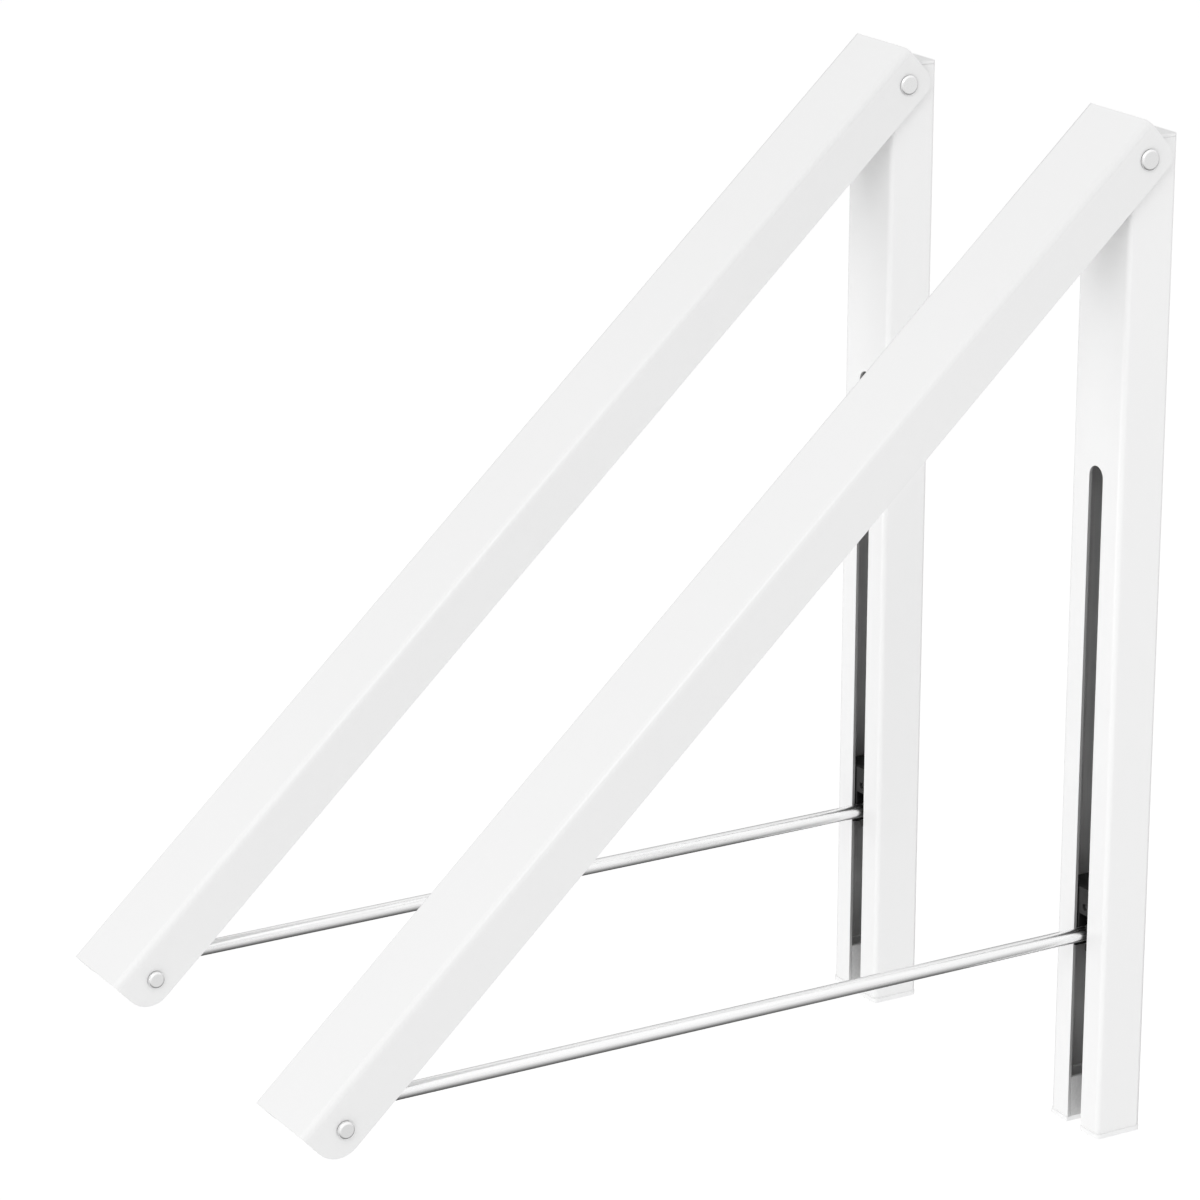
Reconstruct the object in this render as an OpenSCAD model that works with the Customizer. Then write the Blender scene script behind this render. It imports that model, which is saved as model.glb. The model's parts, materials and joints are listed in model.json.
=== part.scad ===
// A pair of folding wall racks. Each rack is a slotted rail on the wall, a channel-shaped arm that
// hangs from the rail's top, and a round rod that runs from the arm's lower end to a slider in the rail.
// X runs along the wall, Y runs into it and Z is up. The wall's face is the plane Y = 0, and the
// origin is the centre of the four wall screws. Millimetres throughout. The racks are drawn open.

/* [Pair] */
// Distance between the centre lines of the two racks
pair_spacing = 153; // [60:1:600]
// Distance between the two wall screws of one rail
screw_pitch = 330; // [300:1:334]

/* [Linkage] */
// Arm's top pivot to its lower pivot
arm_span = 442; // [436:1:450]
// Top pivot down to the slider's pivot when the rack is open
slider_drop = 300; // [296:1:304]
// Top pivot behind the rail's front face
pivot_depth = 5; // [4.8:0.1:5.4]

/* [Rail] */
// Width of the rail tube
rail_w = 30; // [28:0.5:30]
// Depth of the rail tube, wall to front face
rail_d = 20; // [19:0.5:24]
// Wall thickness of the rail tube
rail_wall = 1.2; // [1:0.1:1.4]
// Outer corner radius of the rail tube
rail_corner = 2; // [1.6:0.1:3]
// Width of the slot in the front face
slot_w = 8.4; // [8.4:0.1:9]
// Rail above the top pivot, cap included
rail_above = 7.5; // [7:0.1:7.6]
// Rail below the slider's open position, cap included
rail_below = 78.5; // [70:0.5:90]

/* [Rail caps] */
// Thickness of the top cap's plate
top_cap_t = 1.2; // [1:0.1:1.6]
// Thickness of the bottom cap's flange
low_cap_t = 2; // [1.6:0.1:2.4]
// Height of the bottom cap's plug above its flange
low_plug_h = 16.2; // [10:0.2:20]

/* [Arm] */
// Outer width of the arm channel
arm_w = 37; // [36.6:0.1:40]
// Depth of the arm channel, web to rear edge
arm_d = 19.5; // [19:0.1:21]
// Thickness of the arm's sheet
arm_sheet = 1.5; // [1.2:0.1:1.5]
// Outside radius of the two long bends
arm_bend = 2.5; // [2:0.1:3]
// Pivots to the flanges' rear edge
pivot_to_rear = 8.6; // [8:0.1:9]
// Arm above its top pivot
arm_top_over = 9.2; // [8:0.1:10]
// Arm below its lower pivot
arm_low_over = 12.1; // [11:0.1:14]
// Corner radius at the flanges' top end
arm_top_round = 6; // [4:0.5:7]
// Corner radius at the flanges' lower end
arm_low_round = 10; // [6:0.5:11]

/* [Rod] */
// Diameter of the hanging rod
rod_dia = 5.5; // [5:0.1:5.6]

/* [Pins] */
// Diameter of the top and lower pivot pins
pin_dia = 4.8; // [4.5:0.1:5]
// Diameter of the top rivets' heads
top_head_dia = 7.8; // [7:0.1:9]
// Height of the top rivets' heads
top_head_h = 1.1; // [1:0.1:1.6]
// Diameter of the lower pin's heads
low_head_dia = 6.4; // [6:0.1:8]
// Height of the lower pin's heads
low_head_h = 1.8; // [1:0.1:2]
// Diameter of the slider's axle
axle_dia = 3; // [2.8:0.1:3.2]

/* [Slider] */
// Slider above its axle
slider_up = 18; // [16:0.5:20]
// Slider below its axle
slider_down = 5.5; // [5:0.1:6]
// Width of the fork that takes the rod's end
fork_w = 6.2; // [6.2:0.1:6.4]

/* [Hidden] */
PIECES = [
    "rail", "rail_top_cap", "rail_bottom_cap", "pivot_bush", "pivot_pin", "slide_stop", "stop_rivet",
    "slider_block", "slider_pad", "slider_screw", "slider_axle",
    "rod", "rod_slider_eye", "rod_arm_eye",
    "arm", "pivot_rivets", "pivot_washers", "lower_pin", "lower_spacers"
];
SIDES = ["left", "right"];
$fn = 64;

// Radial clearance of a pin that turns, and of a piece pressed or set into another
turn_gap = 0.05;
set_gap = 0.02;
// Clearance between pieces that slide past each other
slide_gap = 0.35;
// Clearance of a cap's plug in the rail's bore, and the radius of the plug's corners
plug_gap = 0.15;
plug_round = 0.7;
// Room past the end of a pin or screw in a closed hole
end_room = 0.2;
// Reach of a cutting shape past the face it cuts
past = 1;

// Linkage: the rod is level when the rack is open, and hangs straight down when it is folded
rod_span = sqrt(arm_span * arm_span - slider_drop * slider_drop);
arm_angle = acos(slider_drop / arm_span);
folded_drop = arm_span - rod_span;

// Heights, from the top pivot
rail_top = rail_above - top_cap_t;
rail_low = -(slider_drop + rail_below) + low_cap_t;
slot_over = 0.9;
slot_end = -folded_drop + slot_over;
stop_top = -slider_drop - slider_down - slide_gap;
stop_h = 10;
screw_top = -12;
screw_dia = 4.5;
driver_dia = 9;

// Depths, from the top pivot: the front is negative and the wall is positive
rail_front = -pivot_depth;
rail_back = rail_d - pivot_depth;
front_in = rail_front + rail_wall;
back_in = rail_back - rail_wall;
side_in = rail_w / 2 - rail_wall;
web_out = pivot_to_rear - arm_d;
flange_in = arm_w / 2 - arm_sheet;

// Slider
nose_w = slot_w - 0.6;
nose_up = -2.8;
pad_low = 7.4;
pad_t = 2;
pad_w = 7.4;
pad_hole_dia = 2.6;
pad_hole_up = 10.6;
pad_screw_dia = 2;
pad_screw_to = 4.8;
axle_len = 20.8;

// Rod ends: the inner end from the slider's axle, and the outer one from the lower pin
rod_tip = -2.3;
rod_from = 5;
stem_dia = 3;
eye_w = 6;
neck_from = 4.5;
neck_to = 11;

// Places a rack on the wall, with its own origin on the axis of its top pivot
module rack(side) {
    across = side == "left" ? -pair_spacing / 2 : pair_spacing / 2;
    translate([across, -rail_back, screw_pitch / 2 - screw_top]) children();
}

// Moves down to the slider's axle
module at_slider() {
    translate([0, 0, -slider_drop]) children();
}

// Tilts a hanging arm to its open angle about the top pivot
module open_arm() {
    rotate([-arm_angle, 0, 0]) children();
}

// Cylinder along X, centred on the origin
module cross_bar(dia, len) {
    rotate([0, 90, 0]) cylinder(d = dia, h = len, center = true);
}

// Cylinder along Y, from its start to its end
module deep_bar(dia, from, to) {
    translate([0, from, 0]) rotate([-90, 0, 0]) cylinder(d = dia, h = to - from);
}

// Flat bar with round long edges, between two depths
module round_section(w, front, back, r) {
    translate([-w / 2 + r, front]) square([w - 2 * r, back - front]);
    translate([-w / 2, front + r]) square([w, back - front - 2 * r]);
    for (x = [-1, 1])
        for (y = [front + r, back - r])
            translate([x * (w / 2 - r), y]) circle(r);
}

// Block between two depths and two heights, centred across
module block(w, front, back, low, high) {
    translate([-w / 2, front, low]) cube([w, back - front, high - low]);
}

// Button head with a round shoulder, on the outer face of an arm flange, pointing outwards along X
module button_head(dia, h) {
    shoulder = 0.9;
    rotate([0, 90, 0]) intersection() {
        rotate_extrude() {
            square([dia / 2 - shoulder, h]);
            square([dia / 2, h - shoulder]);
            translate([dia / 2 - shoulder, h - shoulder]) circle(shoulder);
        }
        cylinder(d = dia + 2, h = h);
    }
}

module rail() {
    color("white") difference() {
        translate([0, 0, rail_low]) linear_extrude(rail_top - rail_low)
            round_section(rail_w, rail_front, rail_back, rail_corner);
        translate([0, 0, rail_low - past]) linear_extrude(rail_top - rail_low + 2 * past)
            round_section(2 * side_in, front_in, back_in, rail_corner - rail_wall);
        // Slot, round at its top and open at the rail's foot
        block(slot_w, rail_front - past, front_in + past, rail_low - past, slot_end - slot_w / 2);
        translate([0, 0, slot_end - slot_w / 2]) deep_bar(slot_w, rail_front - past, front_in + past);
        cross_bar(pin_dia + 2 * set_gap, rail_w + past);
        for (z = [screw_top, screw_top - screw_pitch])
            translate([0, 0, z]) deep_bar(screw_dia, back_in - past, rail_back + past);
        translate([0, 0, screw_top]) deep_bar(driver_dia, rail_front - past, front_in + past);
        stop_place() rivet_shape(set_gap);
    }
}

// Cross-section of a cap's hollow plug in the rail's bore
module plug_section(wall) {
    plug_w = 2 * (side_in - plug_gap);
    plug_d = back_in - front_in - 2 * plug_gap;
    difference() {
        round_section(plug_w, front_in + plug_gap, back_in - plug_gap, plug_round);
        translate([0, (front_in + back_in) / 2])
            square([plug_w - 2 * wall, plug_d - 2 * wall], center = true);
    }
}

module rail_top_cap() {
    plug_low = 3.6;
    plug_wall = 1.2;
    color("whitesmoke") {
        translate([0, 0, rail_top]) linear_extrude(top_cap_t)
            round_section(rail_w, rail_front, rail_back, rail_corner);
        translate([0, 0, plug_low]) linear_extrude(rail_top - plug_low) plug_section(plug_wall);
    }
}

// The notch carries the slot on through the cap, so that the folded rod passes it
module rail_bottom_cap() {
    notch_back = 4.2;
    plug_wall = 1.6;
    plug_front = front_in + plug_gap;
    cap_low = rail_low - low_cap_t;
    lip = 0.4;
    color("whitesmoke") difference() {
        union() {
            // Flange, which stands a little proud of the rail's front and sides
            translate([0, 0, cap_low]) linear_extrude(low_cap_t)
                round_section(rail_w + 2 * lip, rail_front - lip, rail_back, rail_corner);
            translate([0, 0, rail_low]) linear_extrude(low_plug_h) {
                plug_section(plug_wall);
                translate([-slot_w / 2 - plug_wall, plug_front])
                    square([slot_w + 2 * plug_wall, notch_back + plug_wall - plug_front]);
            }
        }
        block(slot_w, rail_front - past, notch_back, cap_low - past, rail_low + low_plug_h + past);
    }
}

module pivot_bush() {
    bush_wall = 0.8;
    color("silver") difference() {
        cross_bar(pin_dia + 2 * bush_wall, 2 * (side_in - turn_gap));
        cross_bar(pin_dia + 2 * set_gap, rail_w);
    }
}

module pivot_pin() {
    color("silver") cross_bar(pin_dia, rail_w);
}

// Puts the stop's rivet at its height on the rail's back wall
module stop_place() {
    translate([0, 0, stop_top - stop_h / 2]) children();
}

// Rivet with a countersunk head that sits flush in the rail's back
module rivet_shape(gap) {
    shank_dia = 3;
    shank_front = 8;
    head_dia = 5.4;
    deep_bar(shank_dia + 2 * gap, shank_front, rail_back);
    translate([0, back_in, 0]) rotate([-90, 0, 0])
        cylinder(d1 = shank_dia + 2 * gap, d2 = head_dia + 2 * gap, h = rail_wall);
}

module slide_stop() {
    stop_w = 12;
    stop_front = 6.6;
    color("dimgray") difference() {
        block(stop_w, stop_front, back_in, stop_top - stop_h, stop_top);
        stop_place() rivet_shape(set_gap);
    }
}

module stop_rivet() {
    color("silver") stop_place() rivet_shape(0);
}

module slider_block() {
    block_w = 2 * side_in - 2 * slide_gap;
    front = front_in + slide_gap;
    back = back_in - slide_gap;
    nose_front = rail_front + 0.1;
    fork_back = 3.4;
    pocket_w = 15;
    pocket_front = 7;
    pocket_wall = 2.5;
    color("black") at_slider() difference() {
        union() {
            block(block_w, front, back, -slider_down, slider_up);
            block(nose_w, nose_front, front + past, -slider_down, nose_up);
        }
        // Fork for the rod's end, open to the front and downwards
        block(fork_w, rail_front - past, fork_back, -slider_down - past, pad_low);
        // Seat of the face pad
        block(pad_w + 2 * turn_gap, front - past, front + pad_t, pad_low - turn_gap, slider_up + past);
        // Hollow back
        block(pocket_w, pocket_front, back + past, -slider_down + pocket_wall, slider_up - pocket_wall);
        cross_bar(axle_dia + 2 * set_gap, axle_len + end_room);
        translate([0, 0, pad_hole_up])
            deep_bar(pad_screw_dia + 2 * set_gap, front, pad_screw_to + end_room);
    }
}

module slider_pad() {
    front = front_in + slide_gap;
    color("#303030") at_slider() difference() {
        block(pad_w, front, front + pad_t, pad_low, slider_up);
        translate([0, 0, pad_hole_up]) deep_bar(pad_hole_dia, front - past, front + pad_t + past);
    }
}

module slider_screw() {
    head_sunk = 1.2;
    head_h = 0.7;
    head_front = front_in + slide_gap + head_sunk;
    color("dimgray") at_slider() translate([0, 0, pad_hole_up]) {
        deep_bar(pad_screw_dia, head_front, pad_screw_to);
        deep_bar(pad_hole_dia - 2 * turn_gap, head_front, head_front + head_h);
    }
}

module slider_axle() {
    color("silver") at_slider() cross_bar(axle_dia, axle_len);
}

module rod() {
    bore_depth = 7;
    chamfer = 0.8;
    color("gainsboro") at_slider() difference() {
        union() {
            deep_bar(rod_dia, -rod_span + rod_from, rod_tip - chamfer);
            translate([0, rod_tip - chamfer, 0]) rotate([-90, 0, 0])
                cylinder(d1 = rod_dia, d2 = rod_dia - 2 * chamfer, h = chamfer);
        }
        deep_bar(stem_dia, rod_tip - bore_depth, rod_tip + past);
    }
}

module rod_slider_eye() {
    tongue_w = 3.2;
    tongue_up = 2.1;
    eye_dia = 5.8;
    stem_len = 6;
    color("gray") at_slider() difference() {
        union() {
            intersection() {
                cross_bar(eye_dia, tongue_w);
                block(tongue_w, rod_tip, eye_dia, -eye_dia, eye_dia);
            }
            block(tongue_w, rod_tip, 0, -tongue_up, tongue_up);
            deep_bar(stem_dia - 2 * set_gap, rod_tip - stem_len, rod_tip);
        }
        cross_bar(axle_dia + 2 * turn_gap, tongue_w + past);
    }
}

module rod_arm_eye() {
    eye_dia = 8.4;
    neck_up = 2.8;
    collar_wall = 0.9;
    end_gap = 0.1;
    color("gray") at_slider() translate([0, -rod_span, 0]) difference() {
        union() {
            cross_bar(eye_dia, eye_w);
            block(eye_w, 0, rod_from, -neck_up, neck_up);
            deep_bar(rod_dia + 2 * collar_wall, neck_from, neck_to);
        }
        cross_bar(pin_dia + 2 * turn_gap, eye_w + past);
        deep_bar(rod_dia + 2 * set_gap, rod_from - end_gap, neck_to + past);
    }
}

// Side outline of the arm: square at the web, round at the flanges' free corners
module arm_outline() {
    top = arm_top_over;
    low = -arm_span - arm_low_over;
    translate([web_out, low]) square([arm_d - arm_low_round, top - low]);
    translate([web_out, low + arm_low_round]) square([arm_d, top - low - arm_low_round - arm_top_round]);
    translate([web_out, low + arm_low_round]) square([arm_d - arm_top_round, top - low - arm_low_round]);
    translate([pivot_to_rear - arm_low_round, low + arm_low_round]) circle(arm_low_round);
    translate([pivot_to_rear - arm_top_round, top - arm_top_round]) circle(arm_top_round);
}

// Cross-section of a channel with bent corners at its web, open towards the wall
module channel_section(w, front, r) {
    translate([-w / 2 + r, front]) square([w - 2 * r, arm_d + past]);
    translate([-w / 2, front + r]) square([w, arm_d + past - r]);
    for (x = [-1, 1]) translate([x * (w / 2 - r), front + r]) circle(r);
}

module arm() {
    length = arm_top_over + arm_span + arm_low_over;
    color("white") open_arm() difference() {
        intersection() {
            translate([0, 0, -arm_span - arm_low_over]) linear_extrude(length)
                channel_section(arm_w, web_out, arm_bend);
            rotate([90, 0, 90]) translate([0, 0, -arm_w / 2 - past])
                linear_extrude(arm_w + 2 * past) arm_outline();
        }
        translate([0, 0, -arm_span - arm_low_over - past]) linear_extrude(length + 2 * past)
            channel_section(arm_w - 2 * arm_sheet, web_out + arm_sheet, arm_bend - arm_sheet);
        for (z = [0, -arm_span])
            translate([0, 0, z]) cross_bar(pin_dia + 2 * set_gap, arm_w + past);
    }
}

// The two rivets end just short of the pin inside the rail, so that the pivot can be opened there
module pivot_rivets() {
    shank_in = rail_w / 2 + slide_gap;
    color("silver") for (s = [-1, 1]) scale([s, 1, 1]) open_arm() {
        translate([arm_w / 2, 0, 0]) button_head(top_head_dia, top_head_h);
        translate([(arm_w / 2 + shank_in) / 2, 0, 0]) cross_bar(pin_dia, arm_w / 2 - shank_in);
    }
}

module pivot_washers() {
    washer_dia = 9.2;
    washer_in = rail_w / 2 + slide_gap;
    thick = flange_in - washer_in;
    color("ivory") for (s = [-1, 1]) translate([s * (washer_in + thick / 2), 0, 0]) difference() {
        cross_bar(washer_dia, thick);
        cross_bar(pin_dia + 2 * set_gap, thick + past);
    }
}

module lower_pin() {
    color("silver") open_arm() translate([0, 0, -arm_span]) {
        cross_bar(pin_dia, arm_w);
        for (s = [-1, 1]) scale([s, 1, 1]) translate([arm_w / 2, 0, 0]) button_head(low_head_dia, low_head_h);
    }
}

module lower_spacers() {
    spacer_dia = 8;
    inner = eye_w / 2 + slide_gap;
    len = flange_in - inner;
    color("ivory") open_arm() for (s = [-1, 1])
        translate([s * (inner + len / 2), 0, -arm_span]) difference() {
            cross_bar(spacer_dia, len);
            cross_bar(pin_dia + 2 * set_gap, len + past);
        }
}

for (side = SIDES) {
    rack(side) rail();
    rack(side) rail_top_cap();
    rack(side) rail_bottom_cap();
    rack(side) pivot_bush();
    rack(side) pivot_pin();
    rack(side) slide_stop();
    rack(side) stop_rivet();
    rack(side) slider_block();
    rack(side) slider_pad();
    rack(side) slider_screw();
    rack(side) slider_axle();
    rack(side) rod();
    rack(side) rod_slider_eye();
    rack(side) rod_arm_eye();
    rack(side) arm();
    rack(side) pivot_rivets();
    rack(side) pivot_washers();
    rack(side) lower_pin();
    rack(side) lower_spacers();
}
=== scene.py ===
"""A pair of folding wall racks: looks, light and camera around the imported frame. Metres throughout."""
import json
import math
import bpy
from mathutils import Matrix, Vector


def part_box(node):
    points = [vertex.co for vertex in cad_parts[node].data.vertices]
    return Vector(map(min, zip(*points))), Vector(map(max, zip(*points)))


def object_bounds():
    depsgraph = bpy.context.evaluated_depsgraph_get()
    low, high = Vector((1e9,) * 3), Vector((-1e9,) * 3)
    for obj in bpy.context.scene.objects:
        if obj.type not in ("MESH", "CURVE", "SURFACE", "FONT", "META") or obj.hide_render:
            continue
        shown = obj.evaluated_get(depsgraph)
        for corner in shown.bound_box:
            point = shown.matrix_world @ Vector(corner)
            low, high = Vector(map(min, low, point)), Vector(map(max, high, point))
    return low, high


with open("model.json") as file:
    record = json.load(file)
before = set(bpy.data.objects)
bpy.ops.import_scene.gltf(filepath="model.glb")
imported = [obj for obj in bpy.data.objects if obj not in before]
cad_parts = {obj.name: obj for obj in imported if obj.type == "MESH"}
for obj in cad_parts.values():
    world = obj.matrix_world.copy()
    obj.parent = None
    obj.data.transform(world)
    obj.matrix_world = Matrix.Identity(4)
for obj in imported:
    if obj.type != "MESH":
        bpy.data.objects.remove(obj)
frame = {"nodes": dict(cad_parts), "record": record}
cad_low, cad_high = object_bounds()

MM = 0.001

# Camera: direction, distance and aim are measured from the middle of the object's box
CAMERA_AZIMUTH = math.radians(59.93)
CAMERA_ELEVATION = math.radians(17.86)
CAMERA_DISTANCE = 1.6775
AIM_RIGHT = -0.0057
AIM_UP = 0.0176
CAMERA_LENS = 137.6
SENSOR_WIDTH = 36

# Studio domes: the brightest side, the tones from the far side, at 0, to that side, at 1, and the
# strength. One lights the object, and the other is what it reflects
LIGHT_SIDE = (0.12, -0.5, 0.88)
LIGHT_TONES = ((0.0, 0.08), (0.25, 0.19), (0.5, 0.5), (0.75, 0.68), (1.0, 0.72))
LIGHT_STRENGTH = 1.18
GLOSS_SIDE = (0.5, -0.2, 0.84)
GLOSS_TONES = ((0.0, 0.05), (0.2, 0.2), (0.5, 0.56), (0.75, 0.72), (1.0, 0.8))
GLOSS_STRENGTH = 1.4

# Floor: well below the racks, because a wall holds them up
FLOOR_DROP = 0.9
FLOOR_SIZE = 30.0
FLOOR_TONE = 0.95
FLOOR_ROUGH = 0.9
FLOOR_GLOW = 0.27

# Soft square lights: name, offset from the middle of the object's box, side and power. The second one
# brightens the long bend of the arms
LIGHTS = (
    ("key", (-0.55, -1.4, -0.15), 0.7, 3.9),
    ("bend", (1.25, -1.15, 1.35), 1.1, 7.4),
)

# Rail: depth of its skin that stays white, how far the slot and holes reach from its middle, and the
# thickness of the coat that the slot's cut edges start under
RAIL_SKIN = 1.1 * MM
SLOT_REACH = 6 * MM
COAT_THICK = 0.08 * MM
# Foot cap: thickness of its flange
FOOT_FLANGE = 2 * MM
# Heads on the arm: height of the band of painted shade at their base
SEAT_SHADE_HEIGHT = 0.3 * MM
# Reach of a mask's box past the piece that it covers
PAST = 10 * MM

# Tones of the greys in each finish, from the darkest to the lightest
COAT_TONES = (0.862, 0.87)
RAIL_COAT_TONES = (0.912, 0.92)
BARE_TONES = (0.6, 0.7)
# The part of the foot cap inside the rail: grey painted as shade
PLUG_SHADE_TONES = (0.54, 0.6)
HEAD_TONES = (0.88, 0.92)
# Near black painted as shade in a thin band at the base of each head
SEAT_SHADE_TONES = (0.02, 0.05)

# Roughness of each finish, from its smoothest place to its roughest, or the same all over
COAT_ROUGH = (0.28, 0.32)
BARE_ROUGH = (0.3, 0.42)
HEAD_ROUGH = (0.07, 0.11)
PLUG_ROUGH = 0.45
SEAT_SHADE_ROUGH = 0.5
# Share of metal in the look of the rail's dull inside
BARE_METAL = 0.55
# Clear gloss over the powder coat
GLOSS_WEIGHT = 0.25
GLOSS_ROUGH = 0.12

# Fineness of the detail in each finish, in features per metre
COAT_CLOUD = 9
COAT_SHEEN = 300
COAT_PEEL = 420
COAT_GRAIN = 2600
BARE_STREAK = 500
BARE_SHEEN = 90
PLUG_GRAIN = 900
STEEL_GRAIN = 1800
STEEL_SHEEN = 700
PLASTIC_CLOUD = 150
PLASTIC_SHEEN = 400
PLASTIC_GRAIN = 1800
# How the bare metal's streaks are stretched along each axis
STREAK_STRETCH = (1, 1, 0.02)

# Depths of the bumps, and how strongly they show
PEEL_DEPTH = 0.02 * MM
COAT_GRAIN_DEPTH = 0.004 * MM
STREAK_DEPTH = 0.01 * MM
PLASTIC_DEPTH = 0.015 * MM
STEEL_DEPTH = 0.003 * MM
BUMP_SHOW = 0.5
STREAK_SHOW = 0.6

# Range that noise mostly keeps to
NOISE_RANGE = (0.3, 0.7)
# Smoothest and roughest places of a plastic or a steel, and a steel's darkest tone, as shares of its own
PLASTIC_SPREAD = (0.9, 1.1)
STEEL_SPREAD = (0.8, 1.25)
STEEL_DARKEST = 0.96

# Plastics: darkest and lightest colour, and roughness
PLASTICS = {
    "white_plastic": ((0.9, 0.9, 0.9), (0.93, 0.93, 0.93), 0.4),
    "black_plastic": ((0.005, 0.005, 0.005), (0.009, 0.009, 0.009), 0.5),
    "dark_pad": ((0.012, 0.012, 0.012), (0.02, 0.02, 0.02), 0.5),
    "nylon": ((0.78, 0.77, 0.73), (0.84, 0.83, 0.8), 0.45),
}

# Steels: tone, roughness, and how the fine lines are stretched along each axis
STEELS = {
    "rod_steel": (0.95, 0.26, (1, 0.02, 1)),
    "zinc_steel": (0.5, 0.4, (1, 1, 1)),
}

# Edge rounding: gap closed between faces, bend that still counts as flat, smallest bend that is rounded,
# and steps of a round
WELD_GAP = 0.002 * MM
FLAT_BEND = math.radians(0.5)
EDGE_BEND = math.radians(35)
ROUND_STEPS = 3
# Edge radii that the drawing leaves sharp
EDGES = {
    "rail": 0.3, "rail_top_cap": 0.3, "rail_bottom_cap": 0.3, "arm": 0.35, "rod": 0.5,
    "slider_block": 0.3, "slider_pad": 0.25, "slide_stop": 0.3, "pivot_rivets": 0.25, "lower_pin": 0.25,
    "lower_spacers": 0.3, "pivot_washers": 0.2, "rod_arm_eye": 0.4, "rod_slider_eye": 0.2,
    "pivot_bush": 0.15, "pivot_pin": 0.15, "slider_screw": 0.1, "slider_axle": 0.2, "stop_rivet": 0.1,
}


# ---------------------------------------------------------------- camera, floor and light

def aim_at(obj, target):
    """Points a camera or light at a place."""
    obj.rotation_euler = (Vector(target) - obj.location).to_track_quat("-Z", "Y").to_euler()


def make_camera(centre):
    """A long-lens camera, level across, at its direction and distance from the middle of the object's box."""
    azimuth, elevation = CAMERA_AZIMUTH, CAMERA_ELEVATION
    right = Vector((math.cos(azimuth), math.sin(azimuth), 0))
    back = Vector((math.sin(azimuth) * math.cos(elevation),
                   -math.cos(azimuth) * math.cos(elevation),
                   math.sin(elevation)))
    up = back.cross(right)
    aim = centre + right * AIM_RIGHT + up * AIM_UP
    data = bpy.data.cameras.new("camera")
    data.lens = CAMERA_LENS
    data.sensor_width = SENSOR_WIDTH
    camera = bpy.data.objects.new("camera", data)
    camera.location = aim + back * CAMERA_DISTANCE
    bpy.context.collection.objects.link(camera)
    aim_at(camera, aim)
    bpy.context.scene.camera = camera


def area_light(name, offset, size, power, centre):
    """A soft square light at an offset from the middle of the object's box, aimed at it."""
    data = bpy.data.lights.new(name, "AREA")
    data.shape = "SQUARE"
    data.size = size
    data.energy = power
    light = bpy.data.objects.new(name, data)
    light.location = centre + Vector(offset)
    bpy.context.collection.objects.link(light)
    aim_at(light, centre)


def make_floor(centre, low):
    """A wide pale floor, a drop below the object, that glows a little so that it stays white."""
    bpy.ops.mesh.primitive_plane_add(size=FLOOR_SIZE, location=(centre.x, centre.y, low - FLOOR_DROP))
    floor = bpy.context.object
    floor.name = "floor"
    material, shader, _ = new_material("pale_floor")
    shader.inputs["Base Color"].default_value = (FLOOR_TONE, FLOOR_TONE, FLOOR_TONE, 1)
    shader.inputs["Roughness"].default_value = FLOOR_ROUGH
    shader.inputs["Emission Color"].default_value = (1, 1, 1, 1)
    shader.inputs["Emission Strength"].default_value = FLOOR_GLOW
    floor.data.materials.append(material)
    floor.visible_glossy = False


def studio_dome(tree, bright_side, tones, strength):
    """A background whose tone runs from the side away from the brightest one, at 0, to that side, at 1."""
    facing = tree.nodes.new("ShaderNodeVectorMath")
    facing.operation = "DOT_PRODUCT"
    facing.inputs[1].default_value = Vector(bright_side).normalized()
    share = tree.nodes.new("ShaderNodeMapRange")
    share.inputs["From Min"].default_value = -1
    ramp = tree.nodes.new("ShaderNodeValToRGB")
    stops = ramp.color_ramp.elements
    for position, tone in tones[1:-1]:
        stops.new(position)
    for stop, (position, tone) in zip(stops, tones):
        stop.position = position
        stop.color = (tone, tone, tone, 1)
    dome = tree.nodes.new("ShaderNodeBackground")
    dome.inputs["Strength"].default_value = strength
    tree.links.new(tree.nodes.new("ShaderNodeTexCoord").outputs["Generated"], facing.inputs[0])
    tree.links.new(facing.outputs["Value"], share.inputs["Value"])
    tree.links.new(share.outputs["Result"], ramp.inputs["Fac"])
    tree.links.new(ramp.outputs["Color"], dome.inputs["Color"])
    return dome.outputs[0]


def make_world():
    """White to the camera. One dome gives the light, and another is what shiny surfaces reflect."""
    world = bpy.data.worlds.new("studio")
    bpy.context.scene.world = world
    world.use_nodes = True
    tree = world.node_tree
    tree.nodes.clear()
    path = tree.nodes.new("ShaderNodeLightPath")
    backdrop = tree.nodes.new("ShaderNodeBackground")
    backdrop.inputs["Color"].default_value = (1, 1, 1, 1)
    lit = tree.nodes.new("ShaderNodeMixShader")
    shown = tree.nodes.new("ShaderNodeMixShader")
    out = tree.nodes.new("ShaderNodeOutputWorld")
    tree.links.new(path.outputs["Is Glossy Ray"], lit.inputs["Fac"])
    tree.links.new(studio_dome(tree, LIGHT_SIDE, LIGHT_TONES, LIGHT_STRENGTH), lit.inputs[1])
    tree.links.new(studio_dome(tree, GLOSS_SIDE, GLOSS_TONES, GLOSS_STRENGTH), lit.inputs[2])
    tree.links.new(path.outputs["Is Camera Ray"], shown.inputs["Fac"])
    tree.links.new(lit.outputs[0], shown.inputs[1])
    tree.links.new(backdrop.outputs[0], shown.inputs[2])
    tree.links.new(shown.outputs[0], out.inputs["Surface"])


# ---------------------------------------------------------------- materials

def new_material(name):
    """A new material, its main shader and its node tree."""
    material = bpy.data.materials.new(name)
    material.use_nodes = True
    shader = material.node_tree.nodes["Principled BSDF"]
    return material, shader, material.node_tree


def object_place(tree):
    """The place on the piece, in metres, in the piece's own coordinates."""
    return tree.nodes.new("ShaderNodeTexCoord").outputs["Object"]


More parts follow.
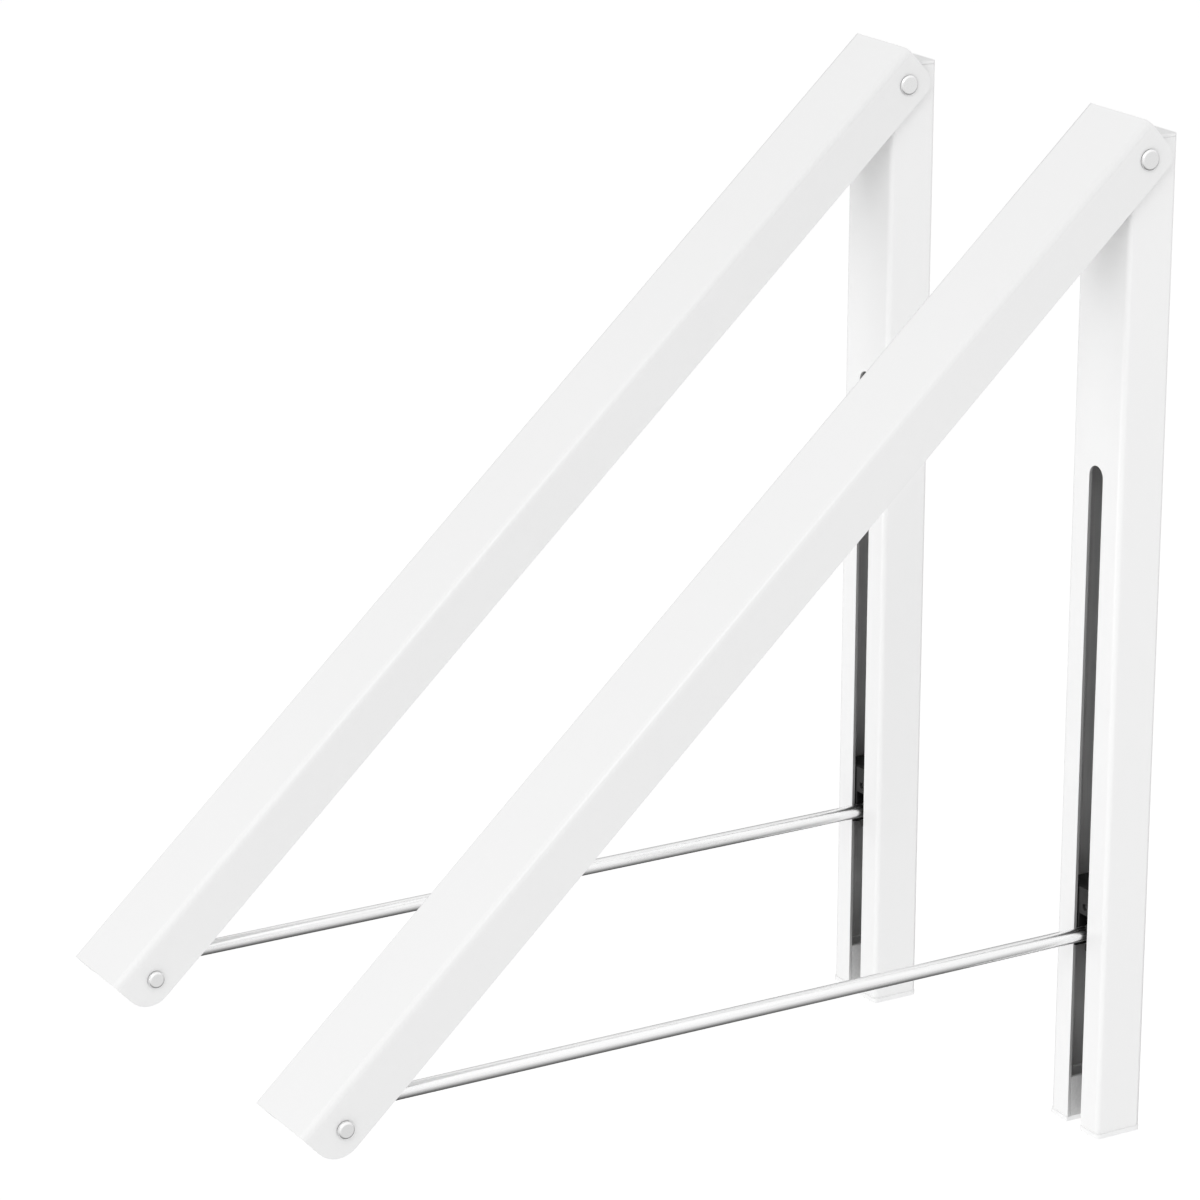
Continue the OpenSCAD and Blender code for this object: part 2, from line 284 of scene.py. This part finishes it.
def noise(tree, scale, detail, stretch=(1, 1, 1)):
    """Noise over the piece's own coordinates. Scale is in features per metre, and detail is its octaves."""
    mapping = tree.nodes.new("ShaderNodeMapping")
    mapping.inputs["Scale"].default_value = stretch
    texture = tree.nodes.new("ShaderNodeTexNoise")
    texture.inputs["Scale"].default_value = scale
    texture.inputs["Detail"].default_value = detail
    tree.links.new(object_place(tree), mapping.inputs["Vector"])
    tree.links.new(mapping.outputs["Vector"], texture.inputs["Vector"])
    return texture.outputs["Fac"]


def spread(tree, value, low, high):
    """Maps noise, whose values crowd round a half, to a range."""
    node = tree.nodes.new("ShaderNodeMapRange")
    node.inputs["From Min"].default_value = NOISE_RANGE[0]
    node.inputs["From Max"].default_value = NOISE_RANGE[1]
    node.inputs["To Min"].default_value = low
    node.inputs["To Max"].default_value = high
    tree.links.new(value, node.inputs["Value"])
    return node.outputs["Result"]


def bump(tree, height, depth, strength=BUMP_SHOW, after=None):
    """A bumped normal; after is the normal of a coarser bump that this one adds to."""
    node = tree.nodes.new("ShaderNodeBump")
    node.inputs["Distance"].default_value = depth
    node.inputs["Strength"].default_value = strength
    tree.links.new(height, node.inputs["Height"])
    if after is not None:
        tree.links.new(after, node.inputs["Normal"])
    return node.outputs["Normal"]


def mix_colour(tree, factor, dark, light):
    """Runs from the dark colour, where the factor is 0, to the light one, where it is 1."""
    node = tree.nodes.new("ShaderNodeMix")
    node.data_type = "RGBA"
    node.inputs["A"].default_value = (*dark, 1)
    node.inputs["B"].default_value = (*light, 1)
    tree.links.new(factor, node.inputs["Factor"])
    return node.outputs["Result"]


def mix_greys(tree, factor, tones):
    """Runs between two greys, as mix_colour does between two colours."""
    dark, light = tones
    return mix_colour(tree, factor, (dark,) * 3, (light,) * 3)


def powder_coat(name, tones):
    """Gloss white powder coat: faint orange peel, a fine grain and an uneven sheen."""
    material, shader, tree = new_material(name)
    cloud = spread(tree, noise(tree, COAT_CLOUD, 3), 0, 1)
    tree.links.new(mix_greys(tree, cloud, tones), shader.inputs["Base Color"])
    tree.links.new(spread(tree, noise(tree, COAT_SHEEN, 2), *COAT_ROUGH), shader.inputs["Roughness"])
    peel = bump(tree, noise(tree, COAT_PEEL, 1), PEEL_DEPTH)
    grain = bump(tree, noise(tree, COAT_GRAIN, 2), COAT_GRAIN_DEPTH, after=peel)
    tree.links.new(grain, shader.inputs["Normal"])
    shader.inputs["Coat Weight"].default_value = GLOSS_WEIGHT
    shader.inputs["Coat Roughness"].default_value = GLOSS_ROUGH
    return material


def inside_box(tree, low, high):
    """1 at the places of the piece that lie in a box, and 0 elsewhere."""
    split = tree.nodes.new("ShaderNodeSeparateXYZ")
    tree.links.new(object_place(tree), split.inputs[0])
    inside = None
    for axis, start, end in zip("XYZ", low, high):
        compare = tree.nodes.new("ShaderNodeMath")
        compare.operation = "COMPARE"
        compare.inputs[1].default_value = (start + end) / 2
        compare.inputs[2].default_value = (end - start) / 2
        tree.links.new(split.outputs[axis], compare.inputs[0])
        if inside is None:
            inside = compare.outputs[0]
            continue
        both = tree.nodes.new("ShaderNodeMath")
        both.operation = "MULTIPLY"
        tree.links.new(inside, both.inputs[0])
        tree.links.new(compare.outputs[0], both.inputs[1])
        inside = both.outputs[0]
    return inside


def any_of(tree, masks):
    """1 where any of the masks is 1."""
    result = masks[0]
    for mask in masks[1:]:
        either = tree.nodes.new("ShaderNodeMath")
        either.operation = "MAXIMUM"
        tree.links.new(result, either.inputs[0])
        tree.links.new(mask, either.inputs[1])
        result = either.outputs[0]
    return result


def add_core(material, core, boxes):
    """Shows a second shader where a piece lies in any of the boxes."""
    tree = material.node_tree
    masks = [inside_box(tree, low, high) for low, high in boxes]
    mix = tree.nodes.new("ShaderNodeMixShader")
    tree.links.new(any_of(tree, masks), mix.inputs["Fac"])
    tree.links.new(tree.nodes["Principled BSDF"].outputs[0], mix.inputs[1])
    tree.links.new(core.outputs[0], mix.inputs[2])
    tree.links.new(mix.outputs[0], tree.nodes["Material Output"].inputs["Surface"])
    return material


def rail_coat(name, node):
    """The rail's powder coat, with dull bare metal inside the tube and on the slot's cut edges."""
    material = powder_coat(name, RAIL_COAT_TONES)
    tree = material.node_tree
    bare = tree.nodes.new("ShaderNodeBsdfPrincipled")
    streak = spread(tree, noise(tree, BARE_STREAK, 3, STREAK_STRETCH), 0, 1)
    tree.links.new(mix_greys(tree, streak, BARE_TONES), bare.inputs["Base Color"])
    tree.links.new(spread(tree, noise(tree, BARE_SHEEN, 3), *BARE_ROUGH), bare.inputs["Roughness"])
    tree.links.new(bump(tree, streak, STREAK_DEPTH, STREAK_SHOW), bare.inputs["Normal"])
    bare.inputs["Metallic"].default_value = BARE_METAL
    low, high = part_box(node)
    middle = (low.x + high.x) / 2
    bore = ((low.x + RAIL_SKIN, low.y + RAIL_SKIN, low.z - PAST),
            (high.x - RAIL_SKIN, high.y - RAIL_SKIN, high.z + PAST))
    slot = ((middle - SLOT_REACH, low.y + COAT_THICK, low.z - PAST),
            (middle + SLOT_REACH, high.y - COAT_THICK, high.z + PAST))
    return add_core(material, bare, (bore, slot))


def cap_plastic_with_painted_shade(name, node):
    """The foot cap's white plastic. Inside the rail, where the cap plugs in, it is painted grey as shade."""
    material = moulded_plastic(name, *PLASTICS["white_plastic"])
    tree = material.node_tree
    # Grey painted as shade on the part of the cap inside the rail, where little light reaches
    plug_shade_shader = tree.nodes.new("ShaderNodeBsdfPrincipled")
    grain = noise(tree, PLUG_GRAIN, 2)
    tree.links.new(mix_greys(tree, spread(tree, grain, 0, 1), PLUG_SHADE_TONES), plug_shade_shader.inputs["Base Color"])
    tree.links.new(bump(tree, grain, PLASTIC_DEPTH), plug_shade_shader.inputs["Normal"])
    plug_shade_shader.inputs["Roughness"].default_value = PLUG_ROUGH
    low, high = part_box(node)
    box = ((low.x + RAIL_SKIN, low.y + RAIL_SKIN, low.z + FOOT_FLANGE),
           (high.x - RAIL_SKIN, high.y - RAIL_SKIN, high.z + PAST))
    return add_core(material, plug_shade_shader, (box,))


def drawn_steel(name, tone, rough, along):
    """Steel with a fine grain, drawn out into lines along the axis that has the smallest stretch."""
    material, shader, tree = new_material(name)
    line = spread(tree, noise(tree, STEEL_GRAIN, 2, along), 0, 1)
    tree.links.new(mix_greys(tree, line, (tone * STEEL_DARKEST, tone)), shader.inputs["Base Color"])
    sheen = noise(tree, STEEL_SHEEN, 3, along)
    smooth, coarse = (rough * share for share in STEEL_SPREAD)
    tree.links.new(spread(tree, sheen, smooth, coarse), shader.inputs["Roughness"])
    tree.links.new(bump(tree, line, STEEL_DEPTH), shader.inputs["Normal"])
    shader.inputs["Metallic"].default_value = 1.0
    return material


def head_steel_with_painted_seat_shade(name, node, arm):
    """Bright steel for the heads on an arm's flanges, with painted shade round their seats."""
    material, shader, tree = new_material(name)
    head_low, head_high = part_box(node)
    grain = noise(tree, STEEL_GRAIN, 2)
    tree.links.new(mix_greys(tree, grain, HEAD_TONES), shader.inputs["Base Color"])
    tree.links.new(spread(tree, grain, *HEAD_ROUGH), shader.inputs["Roughness"])
    tree.links.new(bump(tree, grain, STEEL_DEPTH), shader.inputs["Normal"])
    shader.inputs["Metallic"].default_value = 1.0
    # A thin near-black band of painted shade at the base of each head, beside both flanges
    seat_shade_shader = tree.nodes.new("ShaderNodeBsdfPrincipled")
    tree.links.new(mix_greys(tree, grain, SEAT_SHADE_TONES), seat_shade_shader.inputs["Base Color"])
    seat_shade_shader.inputs["Roughness"].default_value = SEAT_SHADE_ROUGH
    arm_low, arm_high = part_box(arm)
    shade_rings = []
    for start, end in ((arm_low.x - SEAT_SHADE_HEIGHT, arm_low.x), (arm_high.x, arm_high.x + SEAT_SHADE_HEIGHT)):
        shade_rings.append(((start, head_low.y - PAST, head_low.z - PAST),
                      (end, head_high.y + PAST, head_high.z + PAST)))
    return add_core(material, seat_shade_shader, shade_rings)


def moulded_plastic(name, dark, light, rough):
    """Moulded plastic with a fine spark-eroded grain."""
    material, shader, tree = new_material(name)
    cloud = spread(tree, noise(tree, PLASTIC_CLOUD, 3), 0, 1)
    tree.links.new(mix_colour(tree, cloud, dark, light), shader.inputs["Base Color"])
    smooth, coarse = (rough * share for share in PLASTIC_SPREAD)
    tree.links.new(spread(tree, noise(tree, PLASTIC_SHEEN, 2), smooth, coarse), shader.inputs["Roughness"])
    tree.links.new(bump(tree, noise(tree, PLASTIC_GRAIN, 2), PLASTIC_DEPTH), shader.inputs["Normal"])
    return material


def make_materials():
    """The finishes that several nodes share, by the name of their slot in the record."""
    materials = {"white_coat": powder_coat("white_coat", COAT_TONES)}
    for name, look in PLASTICS.items():
        materials[name] = moulded_plastic(name, *look)
    for name, look in STEELS.items():
        materials[name] = drawn_steel(name, *look)
    return materials


# ---------------------------------------------------------------- dressing the CAD nodes

def soften(node, radius):
    """Rounds a node's sharp edges. First its faces are joined, and flat ones merged."""
    weld = node.modifiers.new("weld", "WELD")
    weld.merge_threshold = WELD_GAP
    flats = node.modifiers.new("flats", "DECIMATE")
    flats.decimate_type = "DISSOLVE"
    flats.angle_limit = FLAT_BEND
    bevel = node.modifiers.new("edges", "BEVEL")
    bevel.width = radius
    bevel.segments = ROUND_STEPS
    bevel.limit_method = "ANGLE"
    bevel.angle_limit = EDGE_BEND
    bevel.harden_normals = True


def dress_nodes(materials):
    """Gives each CAD node its finish and its rounded edges."""
    for row in frame["record"]["subparts"]:
        name = row["node"]
        side, piece = name.split("_", 1)
        if piece == "rail":
            material = rail_coat(f"{side}_rail_coat", name)
        elif piece == "rail_bottom_cap":
            material = cap_plastic_with_painted_shade(f"{side}_foot_plastic", name)
        elif piece in ("pivot_rivets", "lower_pin"):
            material = head_steel_with_painted_seat_shade(f"{name}_steel", name, f"{side}_arm")
        else:
            material = materials[row["material_slot"]]
        node = frame["nodes"][name]
        node.data.materials.clear()
        node.data.materials.append(material)
        soften(node, EDGES[piece] * MM)


centre = (cad_low + cad_high) / 2
make_camera(centre)
make_world()
make_floor(centre, cad_low.z)
for name, offset, size, power in LIGHTS:
    area_light(name, offset, size, power, centre)
bpy.context.scene.view_settings.view_transform = "Standard"

dress_nodes(make_materials())
